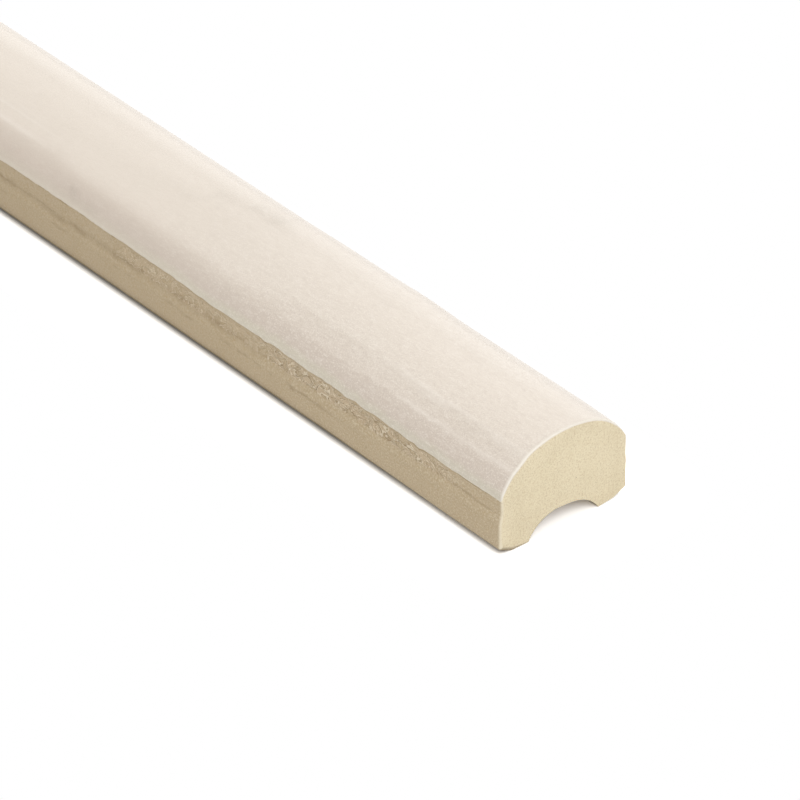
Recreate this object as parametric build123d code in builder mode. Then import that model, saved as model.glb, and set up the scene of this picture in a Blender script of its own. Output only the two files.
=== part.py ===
"""Pencil liner: a narrow domed strip of glazed tile that trims the edge of wall tiling.

The strip is one fired piece with the same section from end to end. Its face is a low dome,
its long walls step in slightly where the two halves of the press die met, its two feet are
bevelled outside, and an arched groove between the feet keys it into the adhesive bed.

Sizes are in millimetres. X runs along the strip, Z is up, and the origin lies on the floor
under the middle of the strip.
"""

import os

from build123d import *

# The whole strip, glaze included
length = 300.0
width = 20.0
height = 14.1

# Dome: a flat crown arc that runs on into a tighter shoulder arc on each side
crown_radius = 14.8
crown_half_angle = 17.8
shoulder_height = 8.65
shoulder_rounding = 1.5

# Long walls: above the line where the die halves met, each wall stands back a little
die_step = 0.22
die_line_height = 5.0
die_line_spread = 1.2
die_line_rounding = 1.0

# Feet, bevelled along their outer edges
bevel_run = 2.0
bevel_rise = 0.9
bevel_rounding = 0.6
foot_rounding = 1.5

# Groove between the feet: a flat crown arc with a tighter haunch arc on each side
groove_width = 10.3
groove_depth = 2.68
groove_crown_radius = 8.7
groove_crown_half_angle = 16.7
groove_mouth_rounding = 0.3

# Both ends are cut square and their edges are just broken
end_rounding = 0.3

half_width = width / 2
die_step_top = die_line_height + die_line_spread / 2
die_step_foot = die_line_height - die_line_spread / 2

shoulder_corner = (half_width - die_step, shoulder_height)
upper_die_corner = (half_width - die_step, die_step_top)
lower_die_corner = (half_width, die_step_foot)
bevel_corner = (half_width, bevel_rise)
foot_corner = (half_width - bevel_run, 0)
groove_corner = (groove_width / 2, 0)


def matching_corners(corner):
    """Return the section's corner on the right half and its twin on the left half."""
    twin = (-corner[0], corner[1])
    return [section.vertices().sort_by_distance(place)[0] for place in (corner, twin)]


with BuildPart() as pencil_liner:
    with BuildSketch(Plane.YZ) as section:
        with BuildLine():
            crown = CenterArc((0, height - crown_radius), crown_radius, 90, -crown_half_angle)
            TangentArc(crown @ 1, shoulder_corner, tangent=crown % 1)
            Polyline(
                shoulder_corner,
                upper_die_corner,
                lower_die_corner,
                bevel_corner,
                foot_corner,
                groove_corner,
            )
            groove_crown = CenterArc(
                (0, groove_depth - groove_crown_radius),
                groove_crown_radius,
                90,
                -groove_crown_half_angle,
            )
            TangentArc(groove_crown @ 1, groove_corner, tangent=groove_crown % 1)
            mirror(about=Plane.YZ)
        make_face()
        fillet(matching_corners(shoulder_corner), shoulder_rounding)
        fillet(matching_corners(upper_die_corner), die_line_rounding)
        fillet(matching_corners(lower_die_corner), die_line_rounding)
        fillet(matching_corners(bevel_corner), bevel_rounding)
        fillet(matching_corners(foot_corner), foot_rounding)
        fillet(matching_corners(groove_corner), groove_mouth_rounding)
    extrude(amount=length / 2, both=True)
    fillet(faces().filter_by(Axis.X).edges(), end_rounding)

pencil_liner.part.label = "pencil_liner"

os.makedirs("parts", exist_ok=True)
export_step(pencil_liner.part, "parts/pencil_liner.step")
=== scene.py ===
"""Pencil liner: a narrow domed strip of glazed tile, dressed on the frame of its solid model.

The strip is one swept surface. Its section is worked out from a few sizes, carried along X, and
moved in or out by the marks that the press, the glaze and the kiln left on it.
"""

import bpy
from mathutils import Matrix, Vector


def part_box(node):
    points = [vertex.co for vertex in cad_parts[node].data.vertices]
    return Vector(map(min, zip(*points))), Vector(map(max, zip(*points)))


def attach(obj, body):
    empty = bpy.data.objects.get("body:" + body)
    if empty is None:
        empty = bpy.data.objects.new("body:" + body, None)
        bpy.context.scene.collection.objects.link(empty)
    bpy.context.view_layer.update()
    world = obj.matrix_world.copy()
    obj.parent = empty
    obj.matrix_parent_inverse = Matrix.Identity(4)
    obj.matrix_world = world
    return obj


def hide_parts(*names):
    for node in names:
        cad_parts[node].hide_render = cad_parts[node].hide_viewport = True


bl_info = {
    "name": "Pencil Liner Tile",
    "version": (1, 0, 0),
    "blender": (4, 5, 0),
    "location": "View3D > Sidebar > Pencil Liner",
    "description": "Builds a half-round glazed trim tile and the stage that it lies on",
    "category": "Add Mesh",
}

import math

import bpy
import numpy as np
from bpy.props import FloatProperty, FloatVectorProperty, IntProperty, PointerProperty
from mathutils import Vector

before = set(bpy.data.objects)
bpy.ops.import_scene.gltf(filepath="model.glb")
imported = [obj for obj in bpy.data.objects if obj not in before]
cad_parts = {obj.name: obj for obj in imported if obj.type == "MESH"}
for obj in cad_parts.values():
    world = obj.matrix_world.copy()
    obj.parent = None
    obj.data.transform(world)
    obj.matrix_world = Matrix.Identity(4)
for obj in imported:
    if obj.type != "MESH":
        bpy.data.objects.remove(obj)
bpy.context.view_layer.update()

NODE = "pencil_liner"
MM = 0.001
NEAR, FAR = -1, 1
LOW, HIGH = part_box(NODE)

# Flats on the dome's shoulders, in mm: wall, first and last place along the strip, and where the
# flat starts and ends above the glaze's lower edge. A place beyond an end runs off that end.
FLATS = (
    (NEAR, 106, 200, 3.7, 6.7),
    (NEAR, 22, 58, 4.6, 7.3),
    (NEAR, -112, -58, 3.2, 6.3),
    (FAR, -16, 30, 3.6, 6.6),
    (FAR, -200, -96, 4.2, 7.2),
)
# Swellings of the glaze, in mm: wall, first and last place along the strip, middle above the
# glaze's lower edge, half width and height.
SWELLS = (
    (NEAR, 64, 103, 3.2, 1.8, 0.22),
    (NEAR, -50, 12, 3.3, 1.9, 0.14),
    (NEAR, -200, -120, 3.0, 1.8, 0.16),
    (FAR, -88, -30, 3.2, 1.8, 0.16),
    (FAR, 113, 118, 4.8, 2.8, 0.14),
    (FAR, -200, 148, 3.4, 2.8, 0.15),
    (FAR, 97, 121, 3.4, 2.8, 0.09),
)
# Grey marks in the glaze, in mm: place along the strip, distance round from the top of the dome,
# which is negative on the near side, half length, half width, and strength.
SMUDGES = (
    (92, 3.0, 4.2, 2.4, 0.62),
    (85, 1.4, 3.0, 1.6, 0.25),
    (87, -1.6, 7.0, 1.6, 0.2),
    (67.6, -10.0, 0.8, 0.6, 1.5),
    (70, -10.7, 2.4, 0.6, 0.3),
    (-36, -2.8, 6.0, 2.4, 0.4),
    (18, 4.7, 5.0, 2.0, 0.35),
    (-104, 8.3, 1.6, 0.8, 0.5),
)
# Stretches of chipped die line, in mm: wall, first and last place along the strip, and strength.
CHIPPED = (
    (NEAR, 106, 141, 1.0),
    (NEAR, 78, 106, 0.4),
    (NEAR, -20, 24, 0.9),
    (NEAR, -118, -96, 0.8),
    (FAR, 40, 92, 0.9),
    (FAR, -92, -40, 0.6),
)
# How far each corner of the section is eased to both sides, in mm: groove mouth, foot, bevel, both
# ends of the die step, and shoulder.
EASED = {
    NEAR: (0.19, 0.32, 0.39, 0.1, 0.1, 0.32),
    FAR: (0.19, 0.32, 0.15, 0.1, 0.1, 0.32),
}
# Radius of the dome's shoulder where the flats lie, in mm.
SHOULDER_RADIUS = 8.65
# How far a flat or swelling, and a chipped stretch, ease to both sides of their ends, in mm.
MARK_EASE = 4.5
CHIP_EASE = 3
# Rows over the roof of the groove, and the widest spacing of rows and columns, in mm.
ROOF_ROWS = 5
ROW_SPACING = 0.66
COLUMN_SPACING = 0.72
# Numbers along each edge of the noise's lattice, and cells from its corner to the strip.
LATTICE = 32
LATTICE_START = 1000.0
# Layout of the flat map, as shares of its side: margin, size and pitch of the two lanes, and place
# and pitch of the two end faces.
MAP_MARGIN = 0.01
LANE_LENGTH = 0.98
LANE_HEIGHT = 0.42
LANE_PITCH = 0.44
END_PLACE = (0.1, 0.89)
END_PITCH = 0.25
SPECK_INPUTS = ("Per millimetre", "Radius", "Share")
# How far the floor reaches from the origin, in metres.
FLOOR_REACH = 6.0


def tone(red, green, blue):
    """A colour given as screen values from 0 to 255, as the linear colour that a shader takes."""
    screen = np.array([red, green, blue]) / 255
    linear = np.where(screen > 0.04045, ((screen + 0.055) / 1.055) ** 2.4, screen / 12.92)
    return (*linear.tolist(), 1.0)


def size(name, millimetres, description):
    """A length property whose default is given in millimetres."""
    return FloatProperty(
        name=name, description=description, default=millimetres * MM, precision=5, unit="LENGTH"
    )


def angle(name, degrees, description):
    """An angle property whose default is given in degrees."""
    turn = math.radians(degrees)
    return FloatProperty(name=name, description=description, default=turn, subtype="ANGLE")


def brightness(name, share, description):
    """A brightness property whose default is a share of plain white."""
    return FloatProperty(name=name, description=description, default=share)


def colour(name, screen, description):
    """A colour property whose default is given as screen values."""
    limits = {"size": 4, "min": 0.0, "max": 1.0, "subtype": "COLOR"}
    return FloatVectorProperty(name=name, description=description, default=tone(*screen), **limits)


class LinerShape(bpy.types.PropertyGroup):
    """Sizes of the pressed strip."""

    length: size("Length", (HIGH.x - LOW.x) / MM, "From end to end")
    width: size("Width", (HIGH.y - LOW.y) / MM, "Across the long walls, at their widest")
    height: size("Height", (HIGH.z - LOW.z) / MM, "From the feet to the top of the dome")
    crown_radius: size("Crown radius", 14.8, "Radius of the flat arc on top of the dome")
    crown_half_angle: angle("Crown half angle", 17.8, "Turn of that arc to each side")
    shoulder_height: size("Shoulder height", 8.65, "Where the dome meets the long walls")
    near_step: size("Near die step", 0.22, "How far the upper part of the near wall stands back")
    far_step: size("Far die step", 0.05, "How far the upper part of the far wall stands back")
    far_drop: size("Far shoulder drop", 0.25, "How much lower the dome meets the far wall")
    far_raise: size("Far bevel raise", 0.2, "How much higher the far bevel reaches")
    far_lift: size("Far foot lift", 0.25, "How far the outer edge of the far foot is off the bed")
    far_mouth: size("Far groove widening", 0.25, "How much further the groove reaches there")
    die_line: size("Die line height", 5.0, "Middle of the step that the press die left")
    die_spread: size("Die step spread", 1.2, "Height over which the step runs out")
    bevel_run: size("Bevel run", 2.0, "Width of the bevel under each long wall")
    bevel_rise: size("Bevel rise", 0.9, "Height of the bevel under each long wall")
    groove_width: size("Groove width", 10.7, "Between the inner edges of the two feet")
    groove_depth: size("Groove depth", 2.84, "From the feet to the top of the groove")
    groove_radius: size("Groove radius", 8.7, "Radius of the flat arc on top of the groove")
    groove_half_angle: angle("Groove half angle", 16.7, "Turn of that arc to each side")
    end_rounding: size("End rounding", 0.3, "Radius of the broken edges round both ends")
    rows: IntProperty(name="Rows", description="Over half the section", default=99)
    columns: IntProperty(name="Columns", description="Along the strip", default=496)


class LinerGlaze(bpy.types.PropertyGroup):
    """The glaze over the dome."""

    thickness: size("Thickness", 0.28, "Of the glaze layer over the crown")
    edge_height: size("Edge height", 8.2, "Mean height of the glaze's lower edge on the walls")
    lip: size("Lip", 0.09, "How far the glaze's edge stands out from the bare wall")
    waves: size("Waves", 0.03, "Height of the long waves in the fired surface")
    ripples: size("Ripples", 0.007, "Height of the fine ripples along the strip")
    ridge_height: size("Ridge height", 0.02, "Of the fine ridges along the flats")
    # Crown and flank: the flank is darker partly from thinner glaze and partly as painted shade
    # where less light falls.
    crown: colour("Crown", (230, 218, 203), "Where the glaze lies thick")
    flank: colour("Flank", (217, 202, 187), "Where it thins over the shoulder")
    edge: colour("Edge", (218, 209, 188), "Where it runs out on the wall")
    rim: colour("Rim", (251, 244, 231), "Where it is cut through round the two ends")
    smudge: colour("Smudge", (174, 162, 145), "Faint grey marks in the glaze")
    dulled: colour("Dulled", (150, 140, 124), "What the crown turns to, away from the ends")
    # Painted highlight along the swollen lip just above the glaze's edge.
    lip_highlight: colour("Bead", (232, 225, 205), "The swollen line just above the glaze's edge")
    # Painted highlight: a glint along the fine ridges on the flats.
    ridge: colour("Ridge", (249, 240, 229), "The fine ridges along the flats")
    grain_dark: colour("Dark grain", (202, 188, 175), "Darker side of the fine grain")
    grain_light: colour("Light grain", (250, 241, 230), "Lighter side of the fine grain")
    dot: colour("Dot", (150, 138, 120), "Scattered fine dots")


class LinerClay(bpy.types.PropertyGroup):
    """The fired body."""

    flash: size("Flash", 0.03, "How far the flash below the die line stands out")
    die_groove: size("Die groove", 0.05, "Depth of the fine groove along the die line")
    chip_depth: size("Chip depth", 0.17, "Depth of the chips above the die line")
    waves: size("Waves", 0.012, "Height of the waves in the pressed skin")
    wear: size("Wear", 0.3, "How far the lower edges of the walls are rubbed off")
    cut: colour("Cut face", (237, 223, 191), "On the two ends, where the body is cut")
    skin: colour("Pressed skin", (203, 184, 153), "On the walls, feet and groove")
    # Bed: painted shade on the feet, bevels and groove, which lie in shadow; what its description
    # calls a kiln stain is that painted shade.
    bed: colour("Bed", (140, 122, 94), "On the feet, bevels and groove, stained in the kiln")
    # Painted shade along the foot of the walls, partly grime.
    foot_shade_and_grime: colour("Grime", (122, 104, 78), "Along the foot of the walls")
    # Arris: partly painted highlight along the rounded edges of the two ends, partly a paler cut
    # edge.
    arris: colour("Arris", (246, 235, 211), "Where the cut leaves a fresh edge")
    flake: colour("Flake", (212, 190, 160), "Body laid bare where the die line flaked")
    # Partly dust and partly painted shade: this colour marks the soiled die line, its crease and
    # the flash's lower edge, and paints a shadow under the glaze's lip and shade lines in the
    # chips.
    dust_and_shade: colour("Crevice", (152, 128, 96), "Dust pressed into the die line and under the glaze")
    # Painted highlight on the curls of torn clay along the chipped die line, partly paler bared
    # clay.
    chip_and_highlight: colour("Chip", (236, 222, 197), "Fresh chips along the die line")
    pore: colour("Pore", (120, 98, 66), "Open pores in the cut face")
    rust: colour("Iron speck", (214, 168, 118), "Iron specks in the body")
    dulled: colour("Dulled skin", (184, 166, 137), "What the skin turns to, away from the ends")
    cloud: colour("Cloud", (176, 154, 116), "Broad clouds in the body")
    mottle: colour("Mottle", (196, 164, 112), "Smaller warm patches")
    grain_light: colour("Light grain", (255, 247, 222), "Lighter side of the fine grain")
    grain_dark: colour("Dark grain", (172, 142, 98), "Darker side of the fine grain")


class LinerStage(bpy.types.PropertyGroup):
    """Floor, light and camera."""

    lens: FloatProperty(name="Lens", description="Focal length", default=264.06, unit="CAMERA")
    azimuth: angle("Azimuth", 49.52, "Turn of the camera from straight in front of the near wall")
    elevation: angle("Elevation", 34.89, "Height of the camera above the horizon")
    distance: size("Distance", 692.2, "From the camera to the point that it aims at")
    aim_back: size("Aim back", 16.03, "How far the aim lies behind the near end")
    aim_side: size("Aim side", -11.79, "How far the aim lies to the side of the middle line")
    aim_up: size("Aim up", 14.98, "How high the aim lies above the floor")
    back_level: brightness("Back level", 1.3, "Of the soft box behind")
    fringe_level: brightness("Fringe level", 1.15, "Of that box's front edge")
    rear_level: brightness("Rear level", 1.1, "Of the upright panel behind")
    end_level: brightness("End level", 1.75, "Of the soft box at the end")
    world_level: brightness("World level", 0.6, "Of the light from all round")
    floor_level: brightness("Floor level", 0.83, "How much light the floor gives back")
    shadow_level: brightness("Shadow level", 2.0, "The same for the camera, near the strip")
    # Depth of the painted contact shadow under the walls.
    contact_level: brightness("Contact level", 1.75, "How much less of it under the walls")
    mirror_level: brightness("Mirror level", 1.25, "How bright the glaze mirrors the floor")
    shadow_reach: size("Shadow reach", 10.0, "How far from the strip its shadow shows on the floor")


def two_arcs(top, radius, half_angle, corner, steps=160):
    """Points down one side of an arch of two arcs, as distances across and up.

    The crown arc has its centre on the middle line, and ends where its normal has turned by
    half_angle. The side arc shares that normal and ends at the corner, so its radius is the square
    of the chord between its ends over twice that chord's share along the normal.
    """
    turn = np.linspace(0, half_angle, steps)
    crown = np.stack([np.sin(turn), np.cos(turn) - 1], 1) * radius + (0, top)
    normal = np.array([math.sin(half_angle), math.cos(half_angle)])
    chord = crown[-1] - corner
    side_radius = chord @ chord / (2 * normal @ chord)
    centre = crown[-1] - side_radius * normal
    last = math.atan2(*(corner - centre))
    turn = np.linspace(half_angle, last, steps)
    side = np.stack([np.sin(turn), np.cos(turn)], 1) * side_radius + centre
    return np.concatenate([crown, side[1:]])


class Section:
    """Half of the strip's section, from the top of the groove round to the top of the dome."""

    def __init__(self, shape, side):
        half = shape.width / 2
        far = side == FAR
        step = shape.far_step if far else shape.near_step
        bevel_rise = shape.bevel_rise + far * shape.far_raise
        groove_corner = np.array([shape.groove_width / 2 + far * shape.far_mouth, 0])
        shoulder_corner = np.array([half - step, shape.shoulder_height - far * shape.far_drop])
        die_low = (half, shape.die_line - shape.die_spread / 2)
        die_high = (half - step, shape.die_line + shape.die_spread / 2)
        groove = two_arcs(
            shape.groove_depth, shape.groove_radius, shape.groove_half_angle, groove_corner
        )
        dome = two_arcs(shape.height, shape.crown_radius, shape.crown_half_angle, shoulder_corner)
        foot = (half - shape.bevel_run, far * shape.far_lift)
        straights = [foot, (half, bevel_rise), die_low, die_high]
        self.points = np.concatenate([groove, straights, dome[::-1]])
        self.along = np.concatenate([[0], np.cumsum(np.hypot(*np.diff(self.points, axis=0).T))])
        self.length = self.along[-1]
        corners = self.along[len(groove) - 1:len(groove) + 5]
        self.mouth, self.foot, self.bevel, self.die_low, self.die_high, self.shoulder = corners
        self.die_top = die_high[1]
        self.corners = corners
        self.reaches = np.array(EASED[side]) * MM

    def sharp(self, s):
        """Place at distance s along the outline with its corners sharp."""
        return np.stack([np.interp(s, self.along, self.points[:, k]) for k in (0, 1)], -1)

    def place(self, s):
        """Place at distance s, each corner eased by a parabola between two points at its reach."""
        spot = self.sharp(s)
        for corner, reach in zip(self.corners, self.reaches):
            u = np.clip((s - corner + reach) / (2 * reach), 0, 1)[..., None]
            before, middle, after = (self.sharp(corner + k * reach) for k in (-1, 0, 1))
            eased = (1 - u) ** 2 * before + 2 * u * (1 - u) * middle + u**2 * after
            spot = np.where((u > 0) & (u < 1), eased, spot)
        return spot

    def normal(self, s, reach):
        """Outward normal at distance s: the outline's direction over a reach, turned a quarter.

        At both ends of the half, on the middle line, it points straight down or up.
        """
        after, before = (self.place(np.clip(s + k * reach, 0, self.length)) for k in (1, -1))
        step = after - before
        turned = np.stack([step[..., 1], -step[..., 0]], -1)
        turned[:, 0] = (0, -1)
        turned[:, -1] = (0, 1)
        return turned / np.linalg.norm(turned, axis=-1, keepdims=True)

    def at_wall(self, height):
        """Distance along the outline at a height on the upper wall."""
        return self.die_high + height - self.die_top


def spread(start, end, count, coarse, marks, samples=30000):
    """Count positions from start to end, closer near each mark (place, width and spacing in mm).

    The wished spacing is the coarse one, pulled down to each mark's own by a bell. The positions
    are where the running sum of one over that spacing passes equal steps.
    """
    fine = np.linspace(start, end, samples)
    wish = np.full(fine.shape, coarse)
    for place, width, spacing in marks:
        near = bell(fine, place, width * MM)
        wish = np.minimum(wish, coarse + (spacing - coarse) * near)
    passed = np.concatenate([[0], np.cumsum(1 / wish[1:])])
    return np.interp(np.linspace(0, passed[-1], count), passed, fine)


def smooth(value, low, high):
    """0 below low, 1 above high and an even S between them."""
    t = np.clip((value - low) / (high - low), 0, 1)
    return t * t * (3 - 2 * t)


def bell(value, middle, width):
    """1 at the middle, falling away evenly to both sides."""
    return np.exp(-(((value - middle) / width) ** 2))


def within(value, start, full, fading, end):
    """1 from full to fading and 0 outside start and end, with an even S on each side."""
    return smooth(value, start, full) * (1 - smooth(value, fading, end))


def stretch(x, first, last, ease):
    """1 from first to last along the strip, eased to both sides of each place; all in mm."""
    return within(x / MM, first - ease, first + ease, last - ease, last + ease)


def noise(points, cell, seed):
    """Smooth random heights from -1 to 1 at points in space.

    Random numbers stand on a lattice whose cells measure cell, in mm, along X, Y and Z. A point
    takes the mean of its cell's eight, each weighed by an even S of its nearness along each axis.
    """
    table = np.random.default_rng(seed).uniform(-1, 1, (LATTICE, LATTICE, LATTICE))
    scaled = points / (np.asarray(cell) * MM) + LATTICE_START
    base = np.floor(scaled).astype(int)
    t = scaled - base
    t = t * t * (3 - 2 * t)
    total = np.zeros(points.shape[:-1])
    for corner in np.ndindex(2, 2, 2):
        weight = np.prod(np.where(corner, t, 1 - t), -1)
        i, j, k = np.moveaxis((base + corner) % LATTICE, -1, 0)
        total += weight * table[i, j, k]
    return total


def chipped_along(x, side):
    """How much of the die line is chipped along one wall, from 0 to 1."""
    return sum(
        strength * stretch(x, first, last, CHIP_EASE)
        for wall, first, last, strength in CHIPPED
        if wall == side
    )


def glaze_edge(x, side, glaze):
    """Height of the glaze's lower edge along one wall.

    A mean, a soft drop that ends in a slow fall, a slow wave, and a fine unevenness, which is
    greater over the chipped stretches. The far wall's runs the other way, shifted.
    """
    line = np.stack([x, np.full_like(x, side * 10 * MM), np.zeros_like(x)], -1)
    along = x if side == NEAR else -x - 30 * MM
    drop = 0.19 * MM * np.tanh((91 * MM - along) / (3 * MM))
    fall = 0.006 * np.clip(along - 95 * MM, 0, None)
    slow = 0.06 * MM * np.sin(x / (9 * MM) + 1.3) + 0.08 * MM * noise(line, (22, 5, 5), 4)
    fine = 0.05 * MM * noise(line, (1.9, 5, 5), 5) + 0.055 * MM * noise(line, (0.9, 5, 5), 6)
    unevenness = 0.8 + 1.4 * chipped_along(x, side)
    return glaze.edge_height + 0.12 * MM + (drop - fall) + slow + fine * unevenness


def wall_relief(place, up, above, on_wall, chipped, die_line, lip, clay):
    """How far the marks on a bare wall stand out, in metres, from heights in mm.

    The wall stands back under the glaze's lip. A thin flash of clay lies between a ragged lower
    edge and the die line. A fine groove follows that line towards the ends, and chips are scooped
    out above it wherever a random height passes a level. Low waves cover the pressed skin.
    """
    from_middle = np.abs(place[..., 0]) / MM
    out = -0.5 * lip * smooth(up, 5.0, 6.2) * (1 - smooth(above, -0.05, 0.05))

    ragged = 0.16 * (noise(place, (2.2, 2, 3), 11) + 0.5 * noise(place, (0.9, 2, 2), 12))
    flash = within(up, 4.65 + ragged, 4.75 + ragged, die_line, die_line + 0.1)
    out += clay.flash * flash * on_wall * smooth(noise(place, (5, 5, 5), 16), -0.3, 0.4)

    cut = bell(up, die_line, 0.17) * within(from_middle, 92, 112, 147.3, 148.8)
    out -= clay.die_groove * cut * on_wall * smooth(noise(place, (7, 5, 5), 17), -0.5, 0.5)

    scoop = noise(place, (1.5, 2, 0.9), 14) + 0.5 * noise(place, (0.8, 2, 0.6), 15)
    band = smooth(up, die_line - 0.1, die_line + 0.2) * (1 - smooth(above, -0.45, -0.1))
    out -= clay.chip_depth * smooth(scoop, 0.05, 0.45) * band * chipped * on_wall

    skin = 1 - smooth(above, 0, 0.1)
    return out + clay.waves * (noise(place, (6, 3, 2.4), 13) - 1) * skin


def dome_relief(place, x, above, side, glaze):
    """How far the marks on the glazed dome stand out, in metres, and its ridges from 0 to 1.

    Long waves and fine ripples run along the strip, and the glaze swells at its edge. A flat takes
    the arc between two lines down to its chord, a parabola whose depth is the width squared over
    eight times the shoulder's radius, and leaves fine broken ridges near both lines. A swelling is
    a bell across and eases out along X. Nothing reaches below the glaze's edge.
    """
    out = glaze.waves * (noise(place, (24, 5, 5), 21) - 1)
    out += glaze.ripples * (noise(place, (34, 1.7, 1.7), 22) - 1)
    out += 0.5 * glaze.lip * bell(above, 0.14, 0.2)
    quick = 0.13 * np.sin(x / (6.5 * MM)) * bell(x / MM, 118, 12)
    wander = (quick + 0.07 * np.sin(x / (11 * MM)))[:, None]
    ridge = np.zeros_like(above)
    for wall, first, last, low, high in FLATS:
        if wall == side:
            across = (above - wander - (low + high) / 2) / ((high - low) / 2)
            depth = (high - low) ** 2 / (8 * SHOULDER_RADIUS) * MM
            here = stretch(x, first, last, MARK_EASE)[:, None]
            out -= here * depth * np.clip(1 - across**2, 0, None)
            lined = stretch(x, first + 20, last, 6)[:, None]
            for line, width in ((high, 0.3), (high - 0.55, 0.2), (low + 0.3, 0.24)):
                broken = smooth(noise(place, (7, 3, 3), 23 + int(10 * line)), -0.5, 0.3)
                ridge += lined * bell(above, line + wander, width) * broken
    out += glaze.ridge_height * ridge
    for wall, first, last, middle, width, height in SWELLS:
        if wall == side:
            here = stretch(x, first, last, MARK_EASE)[:, None]
            out += here * height * MM * bell(above, middle, width)
    return out * smooth(above, -0.02, 0.12), ridge


def worn_ends(x, base, section, side):
    """How wide the edge round each end is, as a share of the even rounding.

    The far wall's edges stay crisp, and the near wall's two lower corners are rubbed off.
    """
    if side == FAR:
        share = 0.2 + 0.8 * smooth(base, section.shoulder, section.shoulder + 4 * MM)
        return np.broadcast_to(share, (len(x), len(base)))
    low = within(base, section.mouth, section.foot, section.bevel, section.bevel + 2.2 * MM)
    return 1 + 1.2 * low * smooth(np.abs(x), 149.2 * MM, 149.95 * MM)[:, None]


def half_surface(shape, glaze, clay, x, side):
    """One half of the strip, on the near or the far side, as grids of columns by rows.

    A vertex is the section's place at its row. Rows near the glaze's edge follow it up and down.
    The grids are the places without their marks, the normals over a short and a long reach, how
    far the marks stand out, the distance round the section, and the attributes by name.
    """
    section = Section(shape, side)
    edge_row = section.at_wall(glaze.edge_height)
    marks = [
        (section.mouth, 0.35, 0.07),
        (section.foot, 0.4, 0.13),
        (section.bevel, 0.55, 0.1),
        (section.die_low + 0.5 * MM, 0.9, 0.16),
        (section.die_high + 0.8 * MM, 1.2, 0.2),
        (edge_row, 0.5, 0.07),
        (section.shoulder, 0.6, 0.18),
        (edge_row + 3.7 * MM, 0.7, 0.2),
        (edge_row + 6.8 * MM, 0.9, 0.2),
    ]
    roof_end = section.mouth - 0.9 * MM
    roof = np.linspace(0, roof_end, ROOF_ROWS + 1)[:-1]
    rest = spread(roof_end, section.length, shape.rows - ROOF_ROWS, ROW_SPACING, marks)
    base = np.concatenate([roof, rest])

    edge = glaze_edge(x, side, glaze)[:, None]
    full, fading, end = (edge_row + past * MM for past in (-0.3, 0.3, 5))
    follow = within(base, section.die_high, full, fading, end)
    s = base + (edge - glaze.edge_height) * follow
    flat = section.place(s)
    place = np.stack([np.broadcast_to(x[:, None], s.shape), side * flat[..., 0], flat[..., 1]], -1)
    up = flat[..., 1] / MM
    above = (s - section.at_wall(edge)) / MM
    on_wall = smooth(base, section.bevel, section.bevel + 0.5 * MM) * (1 - smooth(above, 0.1, 0.5))
    on_bed = 1 - smooth(base, section.bevel - 0.15 * MM, section.bevel + 0.3 * MM)
    die_line = 5.85 + 0.12 * np.sin(x / (31 * MM) + 0.4)[:, None]
    stray = 0.15 * smooth(noise(place, (30, 30, 30), 31), 0, 0.6)
    chipped = np.clip(chipped_along(x, side)[:, None] + stray, 0, 1)

    out, ridge = dome_relief(place, x, above, side, glaze)
    out += wall_relief(place, up, above, on_wall, chipped, die_line, glaze.lip, clay)
    rubbed = 1 - smooth(np.abs(x), 112 * MM, 146 * MM)[:, None]
    out -= clay.wear * rubbed * bell(base, section.bevel + 0.05 * MM, 0.32 * MM)

    smudge = np.zeros_like(s)
    from_top = side * (section.length - s) / MM
    for along, over, long, wide, strength in SMUDGES:
        spot = bell(x / MM, along, long)[:, None] * bell(from_top, over, wide)
        smudge += strength * spot
    thickness = glaze.thickness * (1 - np.exp(-np.clip(above, 0, None) / 0.9))
    attributes = {
        "layer": np.where(above > 0, thickness, above * MM),
        "above_edge": above,
        "above_die": up - die_line,
        "on_wall": on_wall,
        "on_bed": np.broadcast_to(on_bed, s.shape),
        "chipped": chipped,
        "smudge": smudge,
        "ridge": ridge,
        "worn": worn_ends(x, base, section, side),
    }
    narrow, broad = (section.normal(s, reach * MM) for reach in (0.03, 0.5))
    return place, narrow, broad, out, np.broadcast_to(base, s.shape), attributes


def around(first, second):
    """Two grids of rows over half the section, joined into one round the whole section."""
    return np.concatenate([first, second[:, -2:0:-1]], axis=1)


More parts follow.
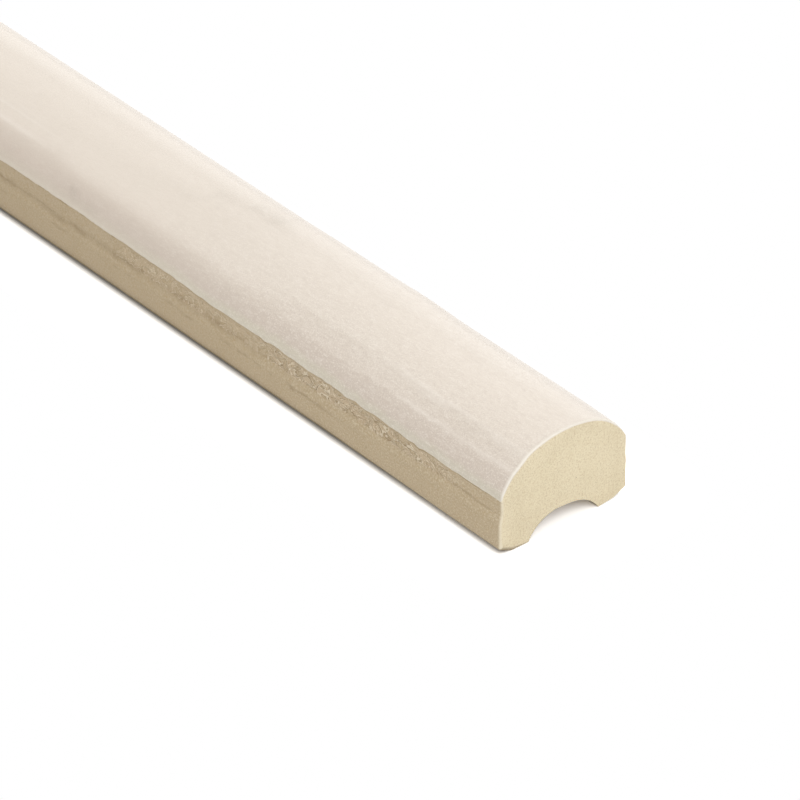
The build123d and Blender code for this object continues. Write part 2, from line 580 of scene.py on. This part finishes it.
def strip_surface(shape, glaze, clay):
    """The strip as a closed grid: vertices, quads, end faces, attributes and corners of its map.

    Columns run along the strip, each a closed loop of rows round the section. Marks move a vertex
    out along the short-reach normal. Near each end a column is drawn in along the other normal by
    the rounding, r - sqrt(r^2 - d^2) at a distance d into it, and one more stands further in.
    """
    half_length = shape.length / 2
    rounding = shape.end_rounding
    marks = [(-half_length, 0.5, 0.05), (half_length, 0.5, 0.05), (125 * MM, 30, 0.44)]
    columns = spread(-half_length, half_length, shape.columns - 2, COLUMN_SPACING, marks)
    x = np.concatenate([columns[:1], columns, columns[-1:]])
    into_end = np.clip(np.abs(columns) - (half_length - rounding), 0, rounding)
    turned = into_end / rounding
    ring = rounding + 0.06 * MM
    drawn_in = rounding - np.sqrt(rounding**2 - into_end**2)
    drawn_in = np.concatenate([[ring], drawn_in, [ring]])[:, None]
    arris = np.concatenate([[0], 2 * turned * np.sqrt(1 - turned**2), [0]])[:, None]

    far, near = (half_surface(shape, glaze, clay, x, side) for side in (FAR, NEAR))
    place, narrow, broad, out = (around(a, b) for a, b in zip(far[:4], near[:4]))
    attributes = {name: around(far[5][name], near[5][name]) for name in far[5]}
    inset = drawn_in * attributes.pop("worn")
    side = np.where(np.arange(place.shape[1]) < far[0].shape[1], 1.0, -1.0)
    shift = narrow * out[..., None] - broad * inset[..., None]
    half_width = shape.width / 2
    place[..., 1] = np.clip(place[..., 1] + side * shift[..., 0], -half_width, half_width)
    place[..., 2] = np.clip(place[..., 2] + shift[..., 1], 0, shape.height)

    attributes["glaze_cover"] = (attributes.pop("layer") - drawn_in) / MM
    attributes["on_wall"] = attributes["on_wall"] * (drawn_in < rounding)
    attributes["on_bed"] = attributes["on_bed"] * (1 - smooth(drawn_in, 0.4 * rounding, rounding))
    attributes["from_end"] = np.broadcast_to((half_length - np.abs(x))[:, None] / MM, out.shape)
    attributes["arris"] = np.broadcast_to(arris, out.shape)

    index = np.arange(out.size).reshape(out.shape)
    following = np.roll(index, -1, axis=1)
    quads = np.stack([index[:-1], following[:-1], following[1:], index[1:]], -1).reshape(-1, 4)
    caps = [index[0][::-1].tolist(), index[-1].tolist()]
    run = np.concatenate([[0], np.cumsum(np.hypot(np.diff(x), np.diff(drawn_in[:, 0])))])
    girth = np.concatenate([far[4][0], 2 * far[4][0, -1] - near[4][0, -2::-1]])
    corners = flat_map(place.reshape(-1, 3), caps, run, girth)
    return place.reshape(-1, 3), quads, caps, attributes, corners


def flat_map(vertices, caps, run, girth):
    """Where each corner of each face lies on a flat square map.

    The strip is slit along the top of its groove and cut in half along its length. The halves lie
    in two lanes, one above the other, and the two end faces above them at the same scale.
    """
    middle = len(run) // 2
    scale = LANE_LENGTH / max(run[middle] - run[0], run[-1] - run[middle])
    column = np.arange(len(run) - 1)
    lane = (column >= middle).astype(float)
    start = np.where(lane > 0, run[middle], run[0])
    left = MAP_MARGIN + (run[:-1] - start) * scale
    right = MAP_MARGIN + (run[1:] - start) * scale
    up = girth / girth[-1] * LANE_HEIGHT
    low, high = up[:-1], up[1:]
    grid = np.zeros((len(column), len(low), 4, 2))
    round_face = ((left, low), (left, high), (right, high), (right, low))
    for corner, (across, rows) in enumerate(round_face):
        grid[:, :, corner, 0] = across[:, None]
        grid[:, :, corner, 1] = MAP_MARGIN + LANE_PITCH * lane[:, None] + rows
    ends = [
        vertices[cap][:, 1:] * scale + (END_PLACE[0] + END_PITCH * k, END_PLACE[1])
        for k, cap in enumerate(caps)
    ]
    return np.concatenate([grid.reshape(-1, 2), *ends])


def mesh_object(name, vertices, faces, attributes=None, corners=None):
    """A smooth-shaded mesh object at the origin, with one number per vertex for each attribute."""
    mesh = bpy.data.meshes.new(name)
    mesh.from_pydata(vertices.tolist(), [], faces)
    for key, values in (attributes or {}).items():
        layer = mesh.attributes.new(key, "FLOAT", "POINT")
        layer.data.foreach_set("value", np.ascontiguousarray(values, np.float32).ravel())
    if corners is not None:
        mesh.uv_layers.new(name="OFBake").data.foreach_set("uv", corners.astype(np.float32).ravel())
    mesh.polygons.foreach_set("use_smooth", np.ones(len(mesh.polygons), bool))
    mesh.update()
    made = bpy.data.objects.new(name, mesh)
    bpy.context.scene.collection.objects.link(made)
    return made


def add(tree, kind, inputs=None, **settings):
    """Add a node, set its own properties, and set or link its inputs by name or number."""
    made = tree.nodes.new(kind)
    for name, value in settings.items():
        setattr(made, name, value)
    for name, value in (inputs or {}).items():
        if isinstance(value, bpy.types.NodeSocket):
            tree.links.new(value, made.inputs[name])
        else:
            made.inputs[name].default_value = value
    return made


def maths(tree, operation, *values):
    """The result of a Math node over one to three values."""
    return add(tree, "ShaderNodeMath", dict(enumerate(values)), operation=operation).outputs[0]


def times(tree, *values):
    """Two or more values multiplied together."""
    total = values[0]
    for value in values[1:]:
        total = maths(tree, "MULTIPLY", total, value)
    return total


def shifted(tree, value, offset, share):
    """A value to which a share of an offset is added."""
    return maths(tree, "MULTIPLY_ADD", offset, share, value)


def between(tree, factor, first, second):
    """Two numbers mixed by a factor."""
    return maths(tree, "MULTIPLY_ADD", factor, maths(tree, "SUBTRACT", second, first), first)


def ramp(tree, value, low, high, start=0.0, end=1.0):
    """A value carried from low..high to start..end by an even S, and held at both ends."""
    inputs = {"Value": value, "From Min": low, "From Max": high, "To Min": start, "To Max": end}
    made = add(tree, "ShaderNodeMapRange", inputs, interpolation_type="SMOOTHSTEP")
    return made.outputs["Result"]


def near_level(tree, value, level, width):
    """1 where a value is at a level, falling to 0 at a width to both sides of it."""
    away = maths(tree, "ABSOLUTE", maths(tree, "SUBTRACT", value, level))
    return ramp(tree, away, 0.0, width, 1.0, 0.0)


def paint(tree, look, coats):
    """A colour with coats laid over it one after another, each a factor and a colour."""
    for factor, tint in coats:
        inputs = {0: factor, 6: look, 7: tint}
        made = add(tree, "ShaderNodeMix", inputs, data_type="RGBA", clamp_factor=True)
        look = made.outputs[2]
    return look


def grain(tree, where, per_mm, detail=3.0, roughness=0.55, along=1.0, distortion=0.0):
    """Noise from 0 to 1 at so many cells per millimetre, and fewer along the strip where asked."""
    scale = (per_mm * along / MM, per_mm / MM, per_mm / MM)
    moved = add(tree, "ShaderNodeMapping", {"Vector": where, "Scale": scale}).outputs[0]
    inputs = {"Detail": detail, "Roughness": roughness, "Distortion": distortion}
    inputs |= {"Vector": moved, "Scale": 1.0}
    return add(tree, "ShaderNodeTexNoise", inputs).outputs[0]


def attribute(tree, name):
    """A number that the mesh carries on its vertices."""
    return add(tree, "ShaderNodeAttribute", attribute_name=name).outputs["Fac"]


def speck_group():
    """Scattered round specks: 1 inside each speck, of which only a share are shown."""
    tree = bpy.data.node_groups.new("scattered specks", "ShaderNodeTree")
    tree.interface.new_socket("Vector", in_out="INPUT", socket_type="NodeSocketVector")
    for name in SPECK_INPUTS:
        tree.interface.new_socket(name, in_out="INPUT", socket_type="NodeSocketFloat")
    tree.interface.new_socket("Mask", in_out="OUTPUT", socket_type="NodeSocketFloat")
    given = tree.nodes.new("NodeGroupInput").outputs
    per_metre = maths(tree, "DIVIDE", given["Per millimetre"], MM)
    cells = add(tree, "ShaderNodeTexVoronoi", {"Vector": given["Vector"], "Scale": per_metre})
    lot = add(tree, "ShaderNodeSeparateColor", {"Color": cells.outputs["Color"]}).outputs
    radius = times(tree, given["Radius"], ramp(tree, lot["Green"], 0.0, 1.0, 0.45, 1.0))
    inside = ramp(tree, cells.outputs["Distance"], times(tree, radius, 0.55), radius, 1.0, 0.0)
    shown = maths(tree, "LESS_THAN", lot["Red"], given["Share"])
    tree.links.new(times(tree, inside, shown), tree.nodes.new("NodeGroupOutput").inputs["Mask"])
    return tree


def scatter(tree, group, where, per_mm, radius, share):
    """Place the speck group with its own values, and return its mask."""
    made = add(tree, "ShaderNodeGroup", node_tree=group)
    tree.links.new(where, made.inputs["Vector"])
    for name, value in zip(SPECK_INPUTS, (per_mm, radius, share)):
        made.inputs[name].default_value = value
    return made.outputs["Mask"]


def clay_look(tree, where, clay, group):
    """Colour, roughness and height in millimetres of the bare fired body.

    Three grains mottle it. One darker colour, partly dust and partly painted shade, follows
    uneven lines along the walls: broad soil round the die line, a crease in it, the lower edge
    of the flash, and a painted shadow under the glaze's lip. Where the die line is chipped, narrow
    bands round some levels of one noise paint curls of torn clay as painted highlight and painted
    shade lines, the light ones partly paler bared clay. Painted shade darkens the foot of the
    walls and the bed, and a painted highlight, partly a paler cut edge, follows the end edges.
    """
    names = ("on_wall", "above_die", "above_edge", "chipped", "from_end", "on_bed", "arris")
    wall, die, above, chipped, from_end, bed, arris = (attribute(tree, name) for name in names)
    cloudy = grain(tree, where, 0.2, 3.0)
    coarse = grain(tree, where, 1.5, 3.0, 0.65)
    fine = grain(tree, where, 4.2, 3.0, 0.7)

    away = times(tree, wall, ramp(tree, from_end, 25.0, 60.0))
    pale = times(tree, ramp(tree, fine, 0.5, 0.66), shifted(tree, 0.3, away, -0.17))
    # Painted shade darkening the walls towards their foot, partly grime, less near the ends.
    foot = ramp(tree, die, -4.7, -3.4, 0.16, 0.0)
    foot_shade_and_grime = times(tree, foot, ramp(tree, from_end, 5.0, 50.0, 0.1, 1.0), wall)
    # Painted highlight along the rounded end edges, partly a paler cut edge; left off where the
    # painted bed shade lies.
    pale_highlit = times(tree, arris, maths(tree, "SUBTRACT", 1.0, bed))
    coats = [
        (ramp(tree, from_end, 10.0, 95.0, 0.0, 0.35), clay.dulled),
        (ramp(tree, from_end, 0.05, 0.3, 1.0, 0.0), clay.cut),
        (ramp(tree, cloudy, 0.4, 0.72, 0.0, 0.14), clay.cloud),
        (ramp(tree, coarse, 0.5, 0.7, 0.0, 0.16), clay.mottle),
        (pale, clay.grain_light),
        (ramp(tree, fine, 0.5, 0.34, 0.0, 0.3), clay.grain_dark),
        # Painted shade on the feet, bevels and groove.
        (times(tree, bed, ramp(tree, cloudy, 0.3, 0.65, 0.62, 0.78)), clay.bed),
        (foot_shade_and_grime, clay.foot_shade_and_grime),
        (times(tree, pale_highlit, ramp(tree, cloudy, 0.3, 0.6, 0.4, 0.7)), clay.arris),
    ]

    uneven = maths(tree, "SUBTRACT", grain(tree, where, 0.6, 4.0, 0.65, 0.5), 0.5)
    strokes = ramp(tree, grain(tree, where, 0.42, 3.0, 0.65, 0.5), 0.47, 0.62)
    patches = ramp(tree, grain(tree, where, 0.42, 4.0, 0.65, 0.8), 0.38, 0.6)
    soiled = near_level(tree, shifted(tree, die, uneven, 1.5), 0.0, 0.9)
    crease = near_level(tree, shifted(tree, die, uneven, 0.9), 0.05, 0.3)
    flash = near_level(tree, shifted(tree, die, uneven, 1.9), -1.6, 0.5)
    # Painted shadow just under the glaze's lip.
    lip_shadow = near_level(tree, shifted(tree, above, uneven, 0.25), -0.1, 0.17)
    soil = ramp(tree, patches, 0.0, 1.0, 0.2, 0.46)
    soil = times(tree, soil, ramp(tree, from_end, 32.0, 60.0))
    ink = times(tree, shifted(tree, 0.36, chipped, -0.2), ramp(tree, from_end, 0.6, 2.6))
    ink = times(tree, ink, ramp(tree, from_end, 30.0, 55.0, 1.0, 0.2))
    dust = times(tree, strokes, ramp(tree, from_end, 28.0, 38.0, 0.1, 0.55))
    dust = times(tree, dust, ramp(tree, from_end, 50.0, 62.0, 1.0, 0.6))
    shade = ramp(tree, strokes, 0.0, 1.0, 0.15, 0.6)
    for mask, strength in ((soiled, soil), (crease, ink), (flash, dust), (lip_shadow, shade)):
        coats.append((times(tree, mask, strength, wall), clay.dust_and_shade))

    broken = grain(tree, where, 0.5, 2.5, 0.55, 0.7, 1.8)
    band = ramp(tree, above, -0.2, -0.5)
    band = times(tree, ramp(tree, die, -0.35, 0.1), band, wall, chipped)
    coats.append((times(tree, ramp(tree, broken, 0.48, 0.56), band, 0.5), clay.flake))
    # Pairs of painted highlight and painted shade lines round levels of one noise, like an embossed
    # edge; the light lines are partly paler bared clay.
    for height, width, strength, tint in (
        (0.5, 0.03, 1.0, clay.chip_and_highlight),
        (0.462, 0.022, 0.8, clay.dust_and_shade),
        (0.62, 0.024, 0.85, clay.chip_and_highlight),
        (0.588, 0.018, 0.7, clay.dust_and_shade),
        (0.4, 0.02, 0.6, clay.dust_and_shade),
    ):
        coats.append((times(tree, near_level(tree, broken, height, width), band, strength), tint))
    pores = scatter(tree, group, where, 0.9, 0.085, 0.14)
    rust = scatter(tree, group, where, 0.2, 0.05, 0.5)
    coats += [(times(tree, pores, 0.6), clay.pore), (times(tree, rust, 0.5), clay.rust)]

    height = times(tree, fine, 0.03)
    torn = times(tree, band, ramp(tree, broken, 0.46, 0.52))
    flash, crease = times(tree, flash, wall), times(tree, crease, wall)
    for mask, depth in ((pores, -0.06), (torn, -0.07), (flash, -0.02), (crease, -0.03)):
        height = shifted(tree, height, mask, depth)
    return paint(tree, clay.skin, coats), ramp(tree, fine, 0.3, 0.7, 0.84, 0.96), height


def glaze_look(tree, where, glaze, group):
    """Colour, roughness and height in millimetres of the satin glaze.

    It is thick over the crown and thin over the flanks, with a drifting border between them, and
    the flanks' darker colour is partly that thinner glaze and partly painted shade. A painted
    highlight follows the lip above the glaze's edge and the ridges on the flats. Two grains
    lighten and darken it, more strongly near the ends.
    """
    names = ("above_edge", "from_end", "smudge", "ridge", "arris")
    above, from_end, smudge, ridge, arris = (attribute(tree, name) for name in names)
    drift = maths(tree, "SUBTRACT", grain(tree, where, 0.12, 2.0, 0.5, 0.4), 0.5)
    cloudy = grain(tree, where, 0.28, 4.0, 0.62)
    fine = grain(tree, where, 5.5, 2.0, 0.6)
    brushed = grain(tree, where, 2.6, 3.0, 0.6, 0.35)

    thin = ramp(tree, shifted(tree, above, drift, 1.2), 1.9, 0.7)
    # Painted highlight along the glaze's lip, stronger away from the ends.
    lip_highlight = near_level(tree, above, 0.3, 0.5)
    lip_highlight = times(tree, lip_highlight, ramp(tree, from_end, 40.0, 75.0, 0.1, 1.0))
    dull = times(tree, ramp(tree, from_end, 12.0, 55.0), ramp(tree, above, 5.0, 9.0))
    stained = times(tree, smudge, ramp(tree, cloudy, 0.36, 0.6, 0.3, 1.0))
    coats = [
        # Lighter towards the crown: partly thicker glaze, partly painted shade on the flanks.
        (ramp(tree, shifted(tree, above, drift, 2.0), 0.6, 6.4), glaze.crown),
        (times(tree, thin, ramp(tree, from_end, 50.0, 80.0, 1.0, 0.3)), glaze.edge),
        (times(tree, dull, 0.07), glaze.dulled),
        (times(tree, lip_highlight, 0.25), glaze.lip_highlight),
        (times(tree, stained, 0.55), glaze.smudge),
        (ramp(tree, cloudy, 0.5, 0.75, 0.0, 0.06), glaze.smudge),
    ]
    grained = ramp(tree, above, 5.0, 9.0, 1.0, 0.85)
    grained = times(tree, grained, ramp(tree, from_end, 35.0, 80.0, 1.0, 0.4))
    for pattern, low, high, share in ((fine, 0.34, 0.66, 0.52), (brushed, 0.3, 0.7, 0.2)):
        for end, tint in ((high, glaze.grain_dark), (low, glaze.grain_light)):
            coats.append((times(tree, ramp(tree, pattern, 0.5, end), grained, share), tint))
    dots = scatter(tree, group, where, 0.1, 0.03, 0.3)
    coats += [
        # Painted highlight along the ridges on the flats.
        (times(tree, ridge, 0.28), glaze.ridge),
        (times(tree, dots, 0.5), glaze.dot),
        (times(tree, arris, 0.9), glaze.rim),
    ]
    height = shifted(tree, times(tree, grain(tree, where, 0.8, 2.0), 0.008), fine, 0.002)
    return paint(tree, glaze.flank, coats), ramp(tree, fine, 0.3, 0.7, 0.22, 0.31), height


def strip_material(glaze, clay):
    """One material for the whole strip: glaze down to its frayed edge, and bare body elsewhere."""
    made = bpy.data.materials.new("glazed_body")
    made.use_nodes = True
    tree = made.node_tree
    where = add(tree, "ShaderNodeTexCoord").outputs["Object"]
    group = speck_group()
    clay_colour, clay_rough, clay_height = clay_look(tree, where, clay, group)
    glaze_colour, glaze_rough, glaze_height = glaze_look(tree, where, glaze, group)
    frayed = maths(tree, "SUBTRACT", grain(tree, where, 1.6, 3.0, 0.6), 0.5)
    cover = shifted(tree, attribute(tree, "glaze_cover"), frayed, 0.09)
    cover = ramp(tree, cover, -0.02, 0.03)
    height = between(tree, cover, clay_height, glaze_height)
    bump = add(tree, "ShaderNodeBump", {"Strength": 1.0, "Distance": MM, "Height": height})
    inputs = tree.nodes["Principled BSDF"].inputs
    tree.links.new(paint(tree, clay_colour, [(cover, glaze_colour)]), inputs["Base Color"])
    tree.links.new(between(tree, cover, clay_rough, glaze_rough), inputs["Roughness"])
    tree.links.new(bump.outputs[0], inputs["Normal"])
    return made


class LINER_OT_strip(bpy.types.Operator):
    """Build the glazed strip in place of its plain solid"""

    bl_idname = "liner.strip"
    bl_label = "Build the strip"

    def execute(self, context):
        scene = context.scene
        shape, glaze, clay = scene.liner_shape, scene.liner_glaze, scene.liner_clay
        places, quads, caps, attributes, corners = strip_surface(shape, glaze, clay)
        made = mesh_object("glazed_strip", places, quads.tolist() + caps, attributes, corners)
        made.data.materials.append(strip_material(glaze, clay))
        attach(made, "root")
        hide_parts(NODE)
        return {"FINISHED"}


class LINER_OT_stage(bpy.types.Operator):
    """Lay the floor, set the lights and place the camera"""

    bl_idname = "liner.stage"
    bl_label = "Build the stage"

    def execute(self, context):
        scene = context.scene
        stage = scene.liner_stage
        self.floor(scene.liner_shape, stage)
        self.lights(scene, stage)
        self.camera(scene, stage)
        scene.view_settings.view_transform = "Standard"
        return {"FINISHED"}

    def floor(self, shape, stage):
        """A wide pale floor, white to the camera except in the strip's own shadow.

        The distance from the strip is the length of how far a point lies outside its sides along X
        and Y. Near the strip the camera sees the floor lit, less so under the walls' bevels, where
        a painted contact shadow lowers its brightness to the camera below the real shadow's, and
        further off it sees plain white. The glaze mirrors an even white.
        """
        corners = np.array([(-1, -1, 0), (1, -1, 0), (1, 1, 0), (-1, 1, 0)]) * FLOOR_REACH
        made = mesh_object("floor", corners, [(0, 1, 2, 3)])
        material = bpy.data.materials.new("pale_floor")
        material.use_nodes = True
        tree = material.node_tree
        place = add(tree, "ShaderNodeTexCoord").outputs["Object"]
        place = add(tree, "ShaderNodeSeparateXYZ", {"Vector": place}).outputs
        half_length, half_width = shape.length / 2, shape.width / 2
        along, across = (maths(tree, "ABSOLUTE", place[axis]) for axis in ("X", "Y"))
        outside = [
            maths(tree, "MAXIMUM", maths(tree, "SUBTRACT", reached, half), 0.0)
            for reached, half in ((along, half_length), (across, half_width))
        ]
        squares = (times(tree, side, side) for side in outside)
        away = maths(tree, "SQRT", maths(tree, "ADD", *squares))
        shadowed = ramp(tree, away, 0.2 * stage.shadow_reach, stage.shadow_reach, 1.0, 0.0)
        path = add(tree, "ShaderNodeLightPath").outputs
        seen, mirrored = path["Is Camera Ray"], path["Is Glossy Ray"]
        rest = maths(tree, "SUBTRACT", maths(tree, "SUBTRACT", 1.0, seen), mirrored)
        # Painted contact shadow: the floor's brightness to the camera drops in a band under each
        # long wall, easing off near the ends.
        beside = ramp(tree, along, half_length - MM, half_length, 1.0, 0.0)
        eased = ramp(tree, along, half_length - 45 * MM, half_length, 1.0, 0.75)
        under = near_level(tree, across, half_width - 1.35 * MM, 1.4 * MM)
        contact = times(tree, under, beside, eased)
        gain = shifted(tree, stage.shadow_level, contact, -stage.contact_level)
        lit = shifted(tree, times(tree, seen, shadowed, gain), rest, stage.floor_level)
        lit = add(tree, "ShaderNodeBsdfDiffuse", {"Color": lit}).outputs[0]
        white = times(tree, seen, maths(tree, "SUBTRACT", 1.0, shadowed))
        white = shifted(tree, white, mirrored, stage.mirror_level)
        glow = add(tree, "ShaderNodeEmission", {"Strength": white}).outputs[0]
        surface = add(tree, "ShaderNodeAddShader", {0: lit, 1: glow}).outputs[0]
        tree.links.new(surface, tree.nodes["Material Output"].inputs["Surface"])
        tree.nodes.remove(tree.nodes["Principled BSDF"])
        made.data.materials.append(material)

    def lights(self, scene, stage):
        """Level soft boxes over the strip and an upright panel behind it, in even light.

        Each has a place, a tip, an extent and a level. Power is level times pi times area.
        """
        boxes = {
            "back_box": ((-0.85, 0.45, 0.75), 0.0, (1.0, 1.3), stage.back_level),
            "back_fringe": ((-0.85, -0.29, 0.75), 0.0, (1.0, 0.18), stage.fringe_level),
            "rear_panel": ((-1.1, 1.35, 0.4), -math.pi / 2, (1.6, 0.7), stage.rear_level),
            "end_box": ((1.0, -0.25, 0.7), 0.0, (1.0, 1.3), stage.end_level),
        }
        for name, (place, tip, extent, level) in boxes.items():
            light = bpy.data.lights.new(name, "AREA")
            light.shape = "RECTANGLE"
            light.size, light.size_y = extent
            light.energy = level * math.pi * extent[0] * extent[1]
            lamp = bpy.data.objects.new(name, light)
            lamp.location = place
            lamp.rotation_euler = (tip, 0, 0)
            lamp.visible_camera = False
            scene.collection.objects.link(lamp)
        world = bpy.data.worlds.new("studio")
        world.use_nodes = True
        scene.world = world
        tree = world.node_tree
        path = add(tree, "ShaderNodeLightPath").outputs
        seen = maths(tree, "MAXIMUM", path["Is Camera Ray"], path["Is Glossy Ray"])
        background = tree.nodes["Background"]
        background.inputs["Color"].default_value = (1, 1, 1, 1)
        strength = maths(tree, "MAXIMUM", stage.world_level, seen)
        tree.links.new(strength, background.inputs["Strength"])

    def camera(self, scene, stage):
        """Look back along the strip from beyond its near end, level, with a long lens."""
        lens = bpy.data.cameras.new("camera")
        lens.lens = stage.lens
        made = bpy.data.objects.new("camera", lens)
        turn, rise = stage.azimuth, stage.elevation
        level_back = Vector((math.sin(turn), -math.cos(turn), 0))
        back = level_back * math.cos(rise) + Vector((0, 0, math.sin(rise)))
        aim = Vector((scene.liner_shape.length / 2 - stage.aim_back, stage.aim_side, stage.aim_up))
        made.location = aim + back * stage.distance
        made.rotation_euler = (math.pi / 2 - rise, 0, turn)
        scene.collection.objects.link(made)
        scene.camera = made


class LINER_PT_panel(bpy.types.Panel):
    """Sizes and colours of the liner, and the buttons that build it"""

    bl_label = "Pencil Liner"
    bl_idname = "LINER_PT_panel"
    bl_space_type = "VIEW_3D"
    bl_region_type = "UI"
    bl_category = "Pencil Liner"

    def draw(self, context):
        scene = context.scene
        for group in (scene.liner_shape, scene.liner_glaze, scene.liner_clay, scene.liner_stage):
            box = self.layout.box()
            for name in group.__annotations__:
                box.prop(group, name)
        for operator in (LINER_OT_strip, LINER_OT_stage):
            self.layout.operator(operator.bl_idname)


GROUPS = {
    "liner_shape": LinerShape,
    "liner_glaze": LinerGlaze,
    "liner_clay": LinerClay,
    "liner_stage": LinerStage,
}
CLASSES = (*GROUPS.values(), LINER_OT_strip, LINER_OT_stage, LINER_PT_panel)


def register():
    for kind in CLASSES:
        bpy.utils.register_class(kind)
    for name, group in GROUPS.items():
        setattr(bpy.types.Scene, name, PointerProperty(type=group))


def unregister():
    for name in GROUPS:
        delattr(bpy.types.Scene, name)
    for kind in reversed(CLASSES):
        bpy.utils.unregister_class(kind)


def main():
    register()
    bpy.ops.liner.strip()
    bpy.ops.liner.stage()


if __name__ == "__main__":
    main()
